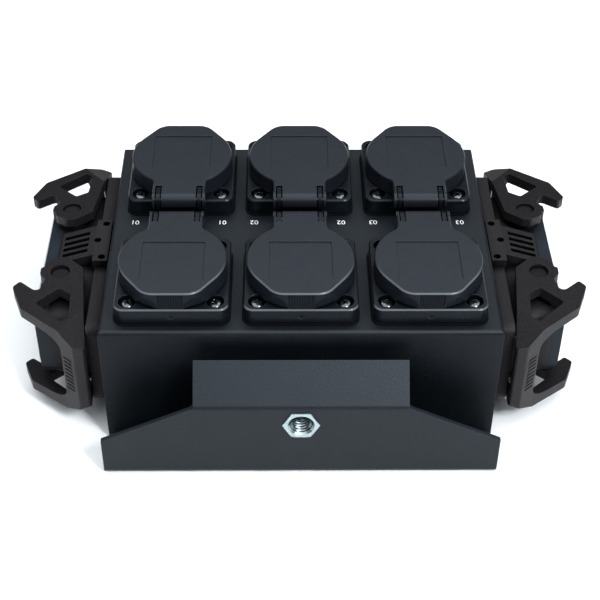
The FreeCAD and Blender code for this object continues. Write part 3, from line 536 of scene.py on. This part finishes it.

# %% [markdown]
# ## Plastics and rubbers of the box
#
# The lids are charcoal, the socket bases nearly black, the housings and levers brown black with a warm
# sheen, the rims blue black and the inserts light grey. Shades can be picked by eye, but it judges such dark
# ones badly, so those that show were set by their mean colour in trial pictures. The three colours of a
# finish are the dark and the light shade of its mottle and the colour painted on its sharp edges, lighter
# partly as wear and partly as painted highlight.

# %% Plastics and rubbers of the box
finishes = {
    "coated_sheet": bracket_coat,
    "socket_plastic": moulded(
        "socket_black", (0.0040, 0.0052, 0.0068), (0.0058, 0.0072, 0.0090), (0.070, 0.076, 0.085),
        grain_size=0.30 * MM, grain_depth=0.01 * MM, roughness=0.26, mirror=(0.12, 0.22),
        edge_radius=0.4 * MM, hinged=True),
    "lid_plastic": moulded(
        "lid_charcoal", (0.0088, 0.0102, 0.0142), (0.0106, 0.0120, 0.0162), (0.075, 0.080, 0.090),
        grain_size=0.28 * MM, grain_depth=0.015 * MM, roughness=0.34, mirror=(0.06, 0.35),
        edge_radius=0.35 * MM, hinged=True, ribbed=True),
    "carrier_plastic": moulded(
        "carrier_black", (0.010, 0.010, 0.011), (0.014, 0.014, 0.015), (0.04, 0.04, 0.04),
        grain_size=0.35 * MM, grain_depth=0.02 * MM, roughness=0.40),
    # The housing's wide gap lets painted shade darken the collar under the levers.
    "housing_plastic": moulded(
        "housing_brown_black", (0.0060, 0.0052, 0.0059), (0.0180, 0.0157, 0.0173), (0.030, 0.027, 0.029),
        grain_size=0.42 * MM, grain_depth=0.08 * MM, roughness=0.52, mirror=(0.18, 0.16),
        mottle_size=0.7 * MM, gap=6.0 * MM, tint=warm_sheen),
    "lever_plastic": moulded(
        "lever_brown_black", (0.0042, 0.0036, 0.0041), (0.0148, 0.0128, 0.0143), (0.034, 0.031, 0.033),
        grain_size=0.42 * MM, grain_depth=0.10 * MM, roughness=0.50, mirror=(0.26, 0.10),
        mottle_size=0.7 * MM, tint=warm_sheen),
    "insert_plastic": moulded(
        "insert_light_grey", (0.60, 0.62, 0.62), (0.66, 0.68, 0.68), (0.75, 0.76, 0.76),
        grain_size=0.5 * MM, grain_depth=0.02 * MM, roughness=0.5),
    "seal_rubber": moulded(
        "seal_black", (0.003, 0.003, 0.004), (0.005, 0.005, 0.006), (0.006, 0.006, 0.007),
        grain_size=0.6 * MM, grain_depth=0.03 * MM, roughness=0.62, mirror=(0.10, 0.10)),
    "rim_rubber": moulded(
        "rim_blue_black", (0.0090, 0.0120, 0.0160), (0.0120, 0.0155, 0.0200), (0.025, 0.03, 0.035),
        grain_size=0.6 * MM, grain_depth=0.02 * MM, roughness=0.45, mirror=(0.16, 0.14)),
    "wire_insulation": moulded(
        "wire_black", (0.012, 0.012, 0.012), (0.016, 0.016, 0.016), (0.03, 0.03, 0.03),
        grain_size=0.8 * MM, grain_depth=0.02 * MM, roughness=0.45),
}
# The pins' rims are painted black: painted shade in the gap round each pin.
pin_black = moulded(
    "pin_brown_black", (0.0075, 0.0065, 0.0074), (0.0110, 0.0096, 0.0106), shade_black,
    grain_size=0.42 * MM, grain_depth=0.05 * MM, roughness=0.50, mirror=(0.30, 0.07),
    edge_radius=0.9 * MM, tint=warm_sheen)
print("finishes so far", sorted(finishes), "and", pin_black.name)

# %% [markdown]
# ## Plated and bare metals
#
# The screws and the nut are zinc plated, the contacts are brass and the springs bare steel. A metal's colour
# lies in what it mirrors, so these finishes are a cloudy tint and fine scratches over a smooth shine. The
# roots of a thread lie in shade, and that shade is painted in. Inside the nut they are found by their
# distance from its axis, because the gaps there are too shallow to be found as such.

# %% Plated and bare metals
metal_edge_radius = 0.12 * MM
cloud_size = 3.0 * MM
scratch_size = 0.5 * MM
scratch_strength = 0.08
scratch_depth = 0.01 * MM
metal_unevenness = (-0.06, 0.10)
root_shade_colour = (0.010, 0.016, 0.017)
root_fade = 0.15 * MM
root_end = (0.02 * MM, 0.10 * MM)


def thread_roots(tree, height, crest, root):
    """1 in the roots of a thread whose axis runs along Y at this height, 0 elsewhere."""
    flat = add_node(tree, "ShaderNodeCombineXYZ")
    tree.links.new(own_axis(tree, "Object", "X"), flat.inputs["X"])
    tree.links.new(worked(tree, "SUBTRACT", own_axis(tree, "Object", "Z"), height), flat.inputs["Z"])
    reach = add_node(tree, "ShaderNodeVectorMath")
    reach.operation = "LENGTH"
    tree.links.new(flat.outputs["Vector"], reach.inputs[0])
    inner = spread(tree, reach.outputs["Value"], 0.0, 1.0, crest + root_fade, root - root_fade)
    outer = spread(tree, reach.outputs["Value"], 1.0, 0.0, root + root_end[0], root + root_end[1])
    return product(tree, inner, outer)


def plated(name, colour, tint, roughness, thread=None):
    """Metal with a cloudy tint and fine scratches; a thread, if there is one, gets painted shade in its
    roots.
    """
    material, tree, shader = new_finish(name)
    shader.inputs["Metallic"].default_value = 1.0
    cloud = spread(tree, grain(tree, cloud_size), 0.0, 1.0)
    skin = blend_colour(tree, cloud, colour, tint)
    if thread:
        skin = blend_colour(tree, thread_roots(tree, *thread), skin, root_shade_colour)
    tree.links.new(skin, shader.inputs["Base Color"])
    scratch = grain(tree, scratch_size, detail=6.0)
    smoothest, roughest = (roughness + change for change in metal_unevenness)
    tree.links.new(spread(tree, scratch, smoothest, roughest), shader.inputs["Roughness"])
    normal = rounded_edges(tree, metal_edge_radius)
    tree.links.new(bumped(tree, scratch, scratch_strength, scratch_depth, normal), shader.inputs["Normal"])
    return material


metals = {
    "zinc_steel": plated("bright_zinc", (0.72, 0.76, 0.75), (0.62, 0.70, 0.70), roughness=0.20),
    "spring_steel": plated("dark_spring_steel", (0.17, 0.17, 0.18), (0.11, 0.11, 0.12), roughness=0.36),
    "brass": plated("contact_brass", (0.72, 0.55, 0.27), (0.64, 0.47, 0.21), roughness=0.30),
}
finishes.update(metals)
screw_zinc = plated("dark_zinc", (0.14, 0.15, 0.16), (0.10, 0.11, 0.12), roughness=0.16)
print("metals", sorted(metals), screw_zinc.name)

# %% [markdown]
# ## Dressing the construction
#
# Each piece could be given its finish by name. The record has a material slot for every one, so a loop over
# the slots dresses them all and forgets none. Two kinds of piece differ from the rest of their slot: the
# case gets a darker copy of the bracket's coat as painted shade, and a dark ring of painted shade frames
# each lever's pins.


# %% Dressing the construction
def dress(node, finish):
    """Give a node one finish all over."""
    for slot in nodes[node].material_slots:
        slot.material = finish


subparts = frame["record"]["subparts"]
for subpart in subparts:
    dress(subpart["node"], finishes[subpart["material_slot"]])
# Darker coat on the case: painted shade.
dress("enclosure_shell", shaded_shell_coat)
for side in ("left", "right"):
    dress(f"lever_pivots_{side}", pin_black)
print("dressed", len(subparts), "nodes in", len(finishes), "finishes")

# %% [markdown]
# ## Finding the loose solids
#
# New pieces go where the construction already has a plain solid for them. Their places could be typed
# in, but measured ones stay right when the construction changes. A node may hold many loose solids, such
# as all screws of the sockets, so a helper walks along its edges and gives the box of each one.

# %% Finding the loose solids
same_point = 0.001 * MM


def solids_of(node):
    """Lowest and highest corner of each loose solid in a node."""
    mesh = bmesh.new()
    mesh.from_mesh(nodes[node].data)
    bmesh.ops.remove_doubles(mesh, verts=mesh.verts, dist=same_point)
    left = set(mesh.verts)
    boxes = []
    while left:
        waiting = [left.pop()]
        corners = []
        while waiting:
            vertex = waiting.pop()
            corners.append(vertex.co.copy())
            for edge in vertex.link_edges:
                other = edge.other_vert(vertex)
                if other in left:
                    left.remove(other)
                    waiting.append(other)
        low = Vector(min(corner[axis] for corner in corners) for axis in range(3))
        high = Vector(max(corner[axis] for corner in corners) for axis in range(3))
        boxes.append((low, high))
    mesh.free()
    return sorted(boxes, key=lambda box: tuple(round(v, 6) for v in box[0]))


print("loose socket screws", len(solids_of("socket_screws")))

# %% [markdown]
# ## Lofts and pieces
#
# Most new pieces are lofts: rings of points, stacked along an axis and joined by faces. A stock cylinder
# would have to be cut and bent to the same form, while rings by formula are right at once and closed.
# A finished mesh becomes an object that rides on the body that carries it.


# %% Lofts and pieces
def loft(mesh, rings, place=Matrix.Identity(4), capped=True):
    """Join rings of equal length by quads, as a part of a growing mesh, and close the ends."""
    rows = [[mesh.verts.new(place @ Vector(point)) for point in ring] for ring in rings]
    count = len(rows[0])
    for row, following in zip(rows, rows[1:]):
        for index in range(count):
            ahead = (index + 1) % count
            mesh.faces.new((row[index], row[ahead], following[ahead], following[index]))
    if capped:
        mesh.faces.new(list(reversed(rows[0])))
        mesh.faces.new(rows[-1])


def add_piece(name, mesh, body, slot, stands_for=(), smooth_angle=35.0, finish=None):
    """Object from a grown mesh, riding on a body; its finish is the slot's, unless one is given."""
    bmesh.ops.recalc_face_normals(mesh, faces=mesh.faces)
    sharp = math.radians(smooth_angle)
    for face in mesh.faces:
        face.smooth = True
    for edge in mesh.edges:
        edge.smooth = len(edge.link_faces) == 2 and edge.calc_face_angle() < sharp
    data = bpy.data.meshes.new(name)
    mesh.to_mesh(data)
    mesh.free()
    data.materials.append(finish or finishes[slot])
    piece = bpy.data.objects.new(name, data)
    scene.collection.objects.link(piece)
    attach(piece, body)
    if stands_for:
        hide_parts(*stands_for)
    return piece


# %% [markdown]
# ## Cross-recess screws
#
# The sockets and connector flanges are held by pan head screws, the base plate by countersunk ones. A
# driver's cross is what makes a screw read as one. It could be cut out of the head, but a cut leaves
# ragged faces, so the rings of the head change from a circle to a cross on the way in. The angles of a
# ring include the corners of the cross, which keeps them crisp.

# %% Head of a screw
# The cross is measured in shares of the head's radius.
cross_reach = 0.52
cross_half_width = 0.13
cross_floor_scale = 0.62


def cross_angles():
    """Angles round a head, with the corners of the cross among them."""
    corner = math.degrees(math.atan2(cross_half_width, cross_reach))
    quarter = (-corner, 0.0, corner, 25.0, 36.0, 45.0, 54.0, 65.0)
    return [math.radians(90.0 * turn + angle) for turn in range(4) for angle in quarter]


def circle(radius, height, angles):
    """Ring of points on a circle."""
    return [(radius * math.cos(angle), radius * math.sin(angle), height) for angle in angles]


def cross(radius, height, angles):
    """Ring of points on the outline of a cross, for a head of this radius."""
    points = []
    for angle in angles:
        along, across = abs(math.cos(angle)), abs(math.sin(angle))
        large, small = max(along, across), min(along, across)
        reach = cross_reach / large
        if small * reach > cross_half_width:
            reach = cross_half_width / small
        points.append((radius * reach * math.cos(angle), radius * reach * math.sin(angle), height))
    return points


def screw_head(mesh, place, radius, head, recess_depth):
    """Head on the seat at zero, along +Z; its rings are (share of the radius, height)."""
    angles = cross_angles()
    top = head[-1][1]
    rings = [circle(radius * share, height, angles) for share, height in head]
    outline = cross(radius, top, angles)
    floor = [(x * cross_floor_scale, y * cross_floor_scale, top - recess_depth) for x, y, _ in outline]
    loft(mesh, rings + [outline, floor], place)


print("points round a head", len(cross_angles()))

# %% [markdown]
# ## Shanks and sets of screws
#
# A plain rod would do where a shank is hidden, but a part that can be taken apart should show its
# thread, and a thread is one more loft: the radius falls and rises with height and angle. Tightened
# screws stop at all angles. Chance could turn them, but an angle taken from each screw's place stays the
# same in every picture.

# %% Shanks and sets of screws
thread_depth = 0.28 * MM
thread_pitch = 1.3 * MM
levels_per_pitch = 4
shank_points = 12
spin_step = math.radians(37.0)


def screw_shank(mesh, place, radius, length):
    """Threaded shank from the seat down: its radius falls and rises as the thread winds round."""
    levels = int(length / thread_pitch * levels_per_pitch)
    rings = []
    for level in range(levels + 1):
        height = -length * level / levels
        ring = []
        for step in range(shank_points):
            turn = math.tau * step / shank_points
            phase = (height / thread_pitch - step / shank_points) % 1.0
            reach = radius - thread_depth * abs(2.0 * phase - 1.0)
            ring.append((reach * math.cos(turn), reach * math.sin(turn), height))
        rings.append(ring)
    loft(mesh, rings, place)


def screw_set(node, axis, head, recess_depth, shank_share):
    """Screws in place of a node's plain solids; the axis points out of the head."""
    mesh = bmesh.new()
    turn = Vector((0.0, 0.0, 1.0)).rotation_difference(axis).to_matrix().to_4x4()
    side = max(range(3), key=lambda index: abs(axis[index]))
    across = (side + 1) % 3
    head_height = head[-1][1]
    for low, high in solids_of(node):
        radius = (high[across] - low[across]) / 2
        outer = high[side] if axis[side] > 0 else low[side]
        seat = (low + high) / 2
        seat[side] = outer - axis[side] * head_height
        spin = Matrix.Rotation(spin_step * round(seat.x / MM + 3 * seat.y / MM), 4, "Z")
        place = Matrix.Translation(seat) @ turn @ spin
        screw_head(mesh, place, radius, head, recess_depth)
        screw_shank(mesh, place, radius * shank_share, high[side] - low[side] - head_height)
    return add_piece(node.rstrip("s") + "_set", mesh, "box", "zinc_steel", (node,), finish=screw_zinc)


pan_head_height = 1.9 * MM
large_head_height = 2.4 * MM
pan_head = [
    (0.94, 0.0), (1.0, 0.25 * MM), (1.0, 0.8 * MM),
    (0.93, 1.35 * MM), (0.80, 1.7 * MM), (0.66, pan_head_height),
]
large_head = [(share, height * large_head_height / pan_head_height) for share, height in pan_head]
sunk_head = [(0.5, 0.0), (0.96, 1.85 * MM), (0.96, 2.0 * MM), (0.72, 2.0 * MM)]
screw_sets = [
    screw_set("socket_screws", Vector((0, 0, 1)), pan_head, recess_depth=1.3 * MM, shank_share=0.56),
    screw_set("flange_screws_left", Vector((-1, 0, 0)), large_head, recess_depth=1.6 * MM, shank_share=0.60),
    screw_set("flange_screws_right", Vector((1, 0, 0)), large_head, recess_depth=1.6 * MM, shank_share=0.60),
    screw_set("base_screws", Vector((0, 0, -1)), sunk_head, recess_depth=1.2 * MM, shank_share=0.50),
]
print("screw sets", [piece.name for piece in screw_sets])

# %% [markdown]
# ## Lid springs
#
# A torsion spring closes each lid. It sits on the hinge pin between the two lugs, close wound, with one
# straight leg that rests on the socket base. A curve with a round section could draw the wire. Rings
# along a helix by formula fill the spring's solid from end to end, whatever its length.

# %% Lid springs
wire_radius = 0.46 * MM
wire_points = 8
coil_pitch = 1.08 * MM
steps_per_turn = 14
leg_reach = 7.0 * MM
leg_drop = 4.4 * MM
pin_axis = Vector((1.0, 0.0, 0.0))
upward = Vector((0.0, 0.0, 1.0))


def wire_ring(centre, radial):
    """Ring of points across the wire, between a radial direction and the hinge pin's."""
    ring = []
    for step in range(wire_points):
        angle = math.tau * step / wire_points
        ring.append(centre + wire_radius * (math.cos(angle) * radial + math.sin(angle) * pin_axis))
    return ring


def coil_spring(mesh, low, high, towards_base):
    """Close-wound coil that fills a lid spring's solid, with a leg towards the socket base."""
    middle_y, middle_z = (low.y + high.y) / 2, (low.z + high.z) / 2
    mean = (high.z - low.z) / 2 - wire_radius
    start, end = low.x + wire_radius, high.x - wire_radius
    steps = int((end - start) / coil_pitch * steps_per_turn)
    coil = []
    for step in range(steps + 1):
        turn = math.tau * step / steps_per_turn
        radial = Vector((0.0, math.cos(turn) * towards_base, -math.sin(turn)))
        centre = Vector((start + (end - start) * step / steps, middle_y, middle_z)) + radial * mean
        coil.append(wire_ring(centre, radial))
    loft(mesh, coil)
    root = Vector((start, middle_y + towards_base * mean, middle_z))
    foot = Vector((start, middle_y + towards_base * leg_reach, middle_z - leg_drop))
    loft(mesh, [wire_ring(root.lerp(foot, share), upward) for share in (0.0, 0.5, 1.0)])


spring_solids = solids_of("lid_springs")
springs = bmesh.new()
for low, high in spring_solids:
    coil_spring(springs, low, high, towards_base=-1.0 if high.y < 0 else 1.0)
add_piece("lid_spring_coils", springs, "box", "spring_steel", ("lid_springs",), smooth_angle=60.0)
print("springs", len(spring_solids))

# %% [markdown]
# ## Press nut
#
# The nut in the bracket is the brightest spot on the object: a hexagon pressed through the plate, with
# a round land, a countersunk mouth and a coarse thread. A turned profile could make its round parts
# only. Rings round the axis make all of it, because only the rule for a ring's radius changes: hexagon,
# circle, or a thread that climbs as it turns.

# %% Rings of the nut
nut_points = 96
nut_across_flats = 14.4 * MM
nut_land_radius = 7.7 * MM
nut_land_inset = 0.05 * MM
nut_thread_pitch = 1.5 * MM
nut_thread_root = 5.0 * MM
nut_bore = mounts["clamp_thread"]["dims"]["r_mm"] * MM
nut_thread_height = nut_thread_root - nut_bore


def nut_ring(depth, radius_at):
    """Ring at a depth behind the nut's face; a rule gives the radius at each angle."""
    ring = []
    for step in range(nut_points):
        angle = math.tau * step / nut_points
        radius = radius_at(angle)
        ring.append((radius * math.cos(angle), depth, radius * math.sin(angle)))
    return ring


def hexagon(angle):
    """Rule for the hexagon's side, with a corner at angle zero."""
    folded = (angle % (math.pi / 3)) - math.pi / 6
    return nut_across_flats / 2 / math.cos(folded)


def land_edge(angle):
    """Rule for the round land, which the hexagon's sides cut off."""
    return min(hexagon(angle) - nut_land_inset, nut_land_radius)


def round_at(radius):
    """Rule for a circle."""
    return lambda angle: radius


def thread_at(depth):
    """Rule for the thread at a depth: from bore to root and back in each pitch."""
    def radius_at(angle):
        phase = (depth / nut_thread_pitch - angle / math.tau) % 1.0
        return nut_bore + nut_thread_height * abs(2.0 * phase - 1.0)
    return radius_at


print("thread from", round(nut_bore / MM, 2), "to", round(nut_thread_root / MM, 2), "mm")

# %% [markdown]
# ## One skin for the nut
#
# From the mouth's rim the rings run out over the land and the hexagon, behind the plate over collar and
# body, and back to the front through the thread. Separate solids for each of these would meet inside
# the nut and leave faces that nobody sees. One run of rings, closed on itself, has none.

# %% Press nut
nut_corner_chamfer = 0.20 * MM
nut_mouth_width = 0.9 * MM
hexagon_proud = 0.6 * MM
plate_thickness = 2.0 * MM
nut_collar_thickness = 2.0 * MM
nut_collar_radius = 8.5 * MM
nut_body_radius = 7.0 * MM
levels_per_turn = 6
same_nut_point = 0.0005 * MM


def press_nut():
    """Hexagon, land, mouth, thread, collar and body in one closed skin."""
    low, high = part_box("clamp_nut")
    axis = Vector((0.0, low.y, mounts["clamp_thread"]["pos_m"][2]))
    length = high.y - low.y
    collar_start = hexagon_proud + plate_thickness
    collar_end = collar_start + nut_collar_thickness
    mouth = nut_ring(0.0, round_at(nut_thread_root + nut_mouth_width))
    collar = round_at(nut_collar_radius)
    body = round_at(nut_body_radius)
    outside = [
        nut_ring(0.0, land_edge), nut_ring(nut_corner_chamfer, hexagon), nut_ring(collar_start, hexagon),
        nut_ring(collar_start, collar), nut_ring(collar_end, collar),
        nut_ring(collar_end, body), nut_ring(length, body), nut_ring(length, round_at(nut_thread_root)),
    ]
    thread_length = length - nut_thread_height - nut_mouth_width
    levels = int((length - nut_thread_height) / nut_thread_pitch * levels_per_turn)
    depths = [length - thread_length * level / levels for level in range(levels + 1)]
    inside = [nut_ring(depth, thread_at(depth)) for depth in depths]
    mesh = bmesh.new()
    loft(mesh, [mouth] + outside + inside + [mouth], Matrix.Translation(axis), capped=False)
    bmesh.ops.remove_doubles(mesh, verts=mesh.verts, dist=same_nut_point)
    nut_zinc = plated("nut_zinc", (0.42, 0.50, 0.51), (0.35, 0.44, 0.46), roughness=0.30,
                      thread=(axis.z, nut_bore, nut_thread_root))
    add_piece("press_nut", mesh, "box", "zinc_steel", ("clamp_nut",), smooth_angle=28.0, finish=nut_zinc)


press_nut()

# %% [markdown]
# ## Grip ribs on the levers
#
# A finger pulls at the sloping face of a lever's bar. On the real object raised letters run along that
# face. No name is copied, so plain ribs take their place. A bump in the finish would look flat from the
# side, so they are short bars with eased edges, set in a column along the middle of the face. The face
# is known by two points of the lever's outline, measured from its pivot, and a sign for each side
# mirrors them to all four levers.

# %% Grip ribs
grip_face_start = Vector((36.7 * MM, -2.3 * MM))
grip_face_end = Vector((42.8 * MM, -9.5 * MM))
grip_centre_share = 0.50
rib_count = 9
rib_pitch = 2.3 * MM
rib_length = 5.0 * MM
rib_width = 1.25 * MM
rib_height = 0.35 * MM
rib_root = 0.2 * MM
rib_shoulder = 0.12 * MM
rib_shoulder_inset = 0.05 * MM
rib_top_inset = 0.22 * MM
rib_corner_share = 0.6


def rib_ring(lift, inset):
    """Eased rectangle at a height above the face."""
    a, b = rib_length / 2 - inset, rib_width / 2 - inset
    soft = b * rib_corner_share
    return [
        (-a, -b + soft, lift), (-a + soft, -b, lift), (a - soft, -b, lift), (a, -b + soft, lift),
        (a, b - soft, lift), (a - soft, b, lift), (-a + soft, b, lift), (-a, b - soft, lift),
    ]


def grip_ribs(lever):
    """Column of ribs on the sloping face of one lever's bar."""
    side = 1.0 if "right" in lever else -1.0
    end = 1.0 if "back" in lever else -1.0
    pivot = Vector(joints[lever + "_pivot"]["pos_m"])
    run = (grip_face_end - grip_face_start).normalized()
    spot = grip_face_start.lerp(grip_face_end, grip_centre_share)
    along = Vector((side * run.y, end * run.x, 0.0))
    outward = Vector((side * run.x, -end * run.y, 0.0))
    turn = Matrix((along, upward, outward)).transposed().to_4x4()
    rings = [
        rib_ring(-rib_root, 0.0),
        rib_ring(rib_height - rib_shoulder, rib_shoulder_inset),
        rib_ring(rib_height, rib_top_inset),
    ]
    mesh = bmesh.new()
    for index in range(rib_count):
        height = (index - (rib_count - 1) / 2) * rib_pitch
        centre = pivot + Vector((side * spot.y, end * spot.x, height))
        loft(mesh, rings, Matrix.Translation(centre) @ turn)
    return add_piece("grip_ribs_" + lever.removeprefix("lever_"), mesh, lever, "lever_plastic")


levers = [name for name in frame["bodies"] if name.startswith("lever_")]
ribs = [grip_ribs(lever) for lever in levers]
print("ribs", [piece.name for piece in ribs])

# %% [markdown]
# ## Printed numbers
#
# On the real panel small white print beside both hinge necks names each channel, to be read from the
# back row's side. Plain numbers take its place. A picture of the print would need a flat layout of the
# panel and blur close up. Text objects laid on the panel stay sharp, and they are raised by a hair so
# that the print covers the coat.

# %% Printed numbers
print_height = 4.1 * MM
print_thickness = 0.02 * MM
print_offsets = {"left": -21.4 * MM, "right": 19.7 * MM}
print_line = 8.1 * MM
print_shades = (0.70, 0.71, 0.72), (0.84, 0.85, 0.86)
print_roughness = 0.6
print_grain = 0.5 * MM


def print_white():
    """Matt white screen print, slightly uneven."""
    material, tree, shader = new_finish("print_white")
    ink = spread(tree, grain(tree, print_grain, detail=4.0), 0.0, 1.0)
    tree.links.new(blend_colour(tree, ink, *print_shades), shader.inputs["Base Color"])
    shader.inputs["Roughness"].default_value = print_roughness
    return material


def printed_number(name, text, place, finish):
    """Flat number on the panel, turned to be read from behind."""
    data = bpy.data.curves.new(name, "FONT")
    data.body = text
    data.size = print_height
    data.extrude = print_thickness
    data.align_x = "CENTER"
    data.align_y = "CENTER"
    data.materials.append(finish)
    piece = bpy.data.objects.new(name, data)
    piece.location = place
    piece.rotation_euler = (0.0, 0.0, math.pi)
    scene.collection.objects.link(piece)
    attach(piece, "box")
    return piece


panel_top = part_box("enclosure_shell")[1].z
white = print_white()
numbers = []
for channel in (1, 2, 3):
    column = mounts[f"socket_front_{channel}"]["pos_m"][0]
    for side, offset in print_offsets.items():
        spot = (column + offset, print_line, panel_top + print_thickness)
        numbers.append(printed_number(f"number_{channel}_{side}", f"0{channel}", spot, white))
print("numbers", [piece.name for piece in numbers], "at height", round(panel_top, 4))
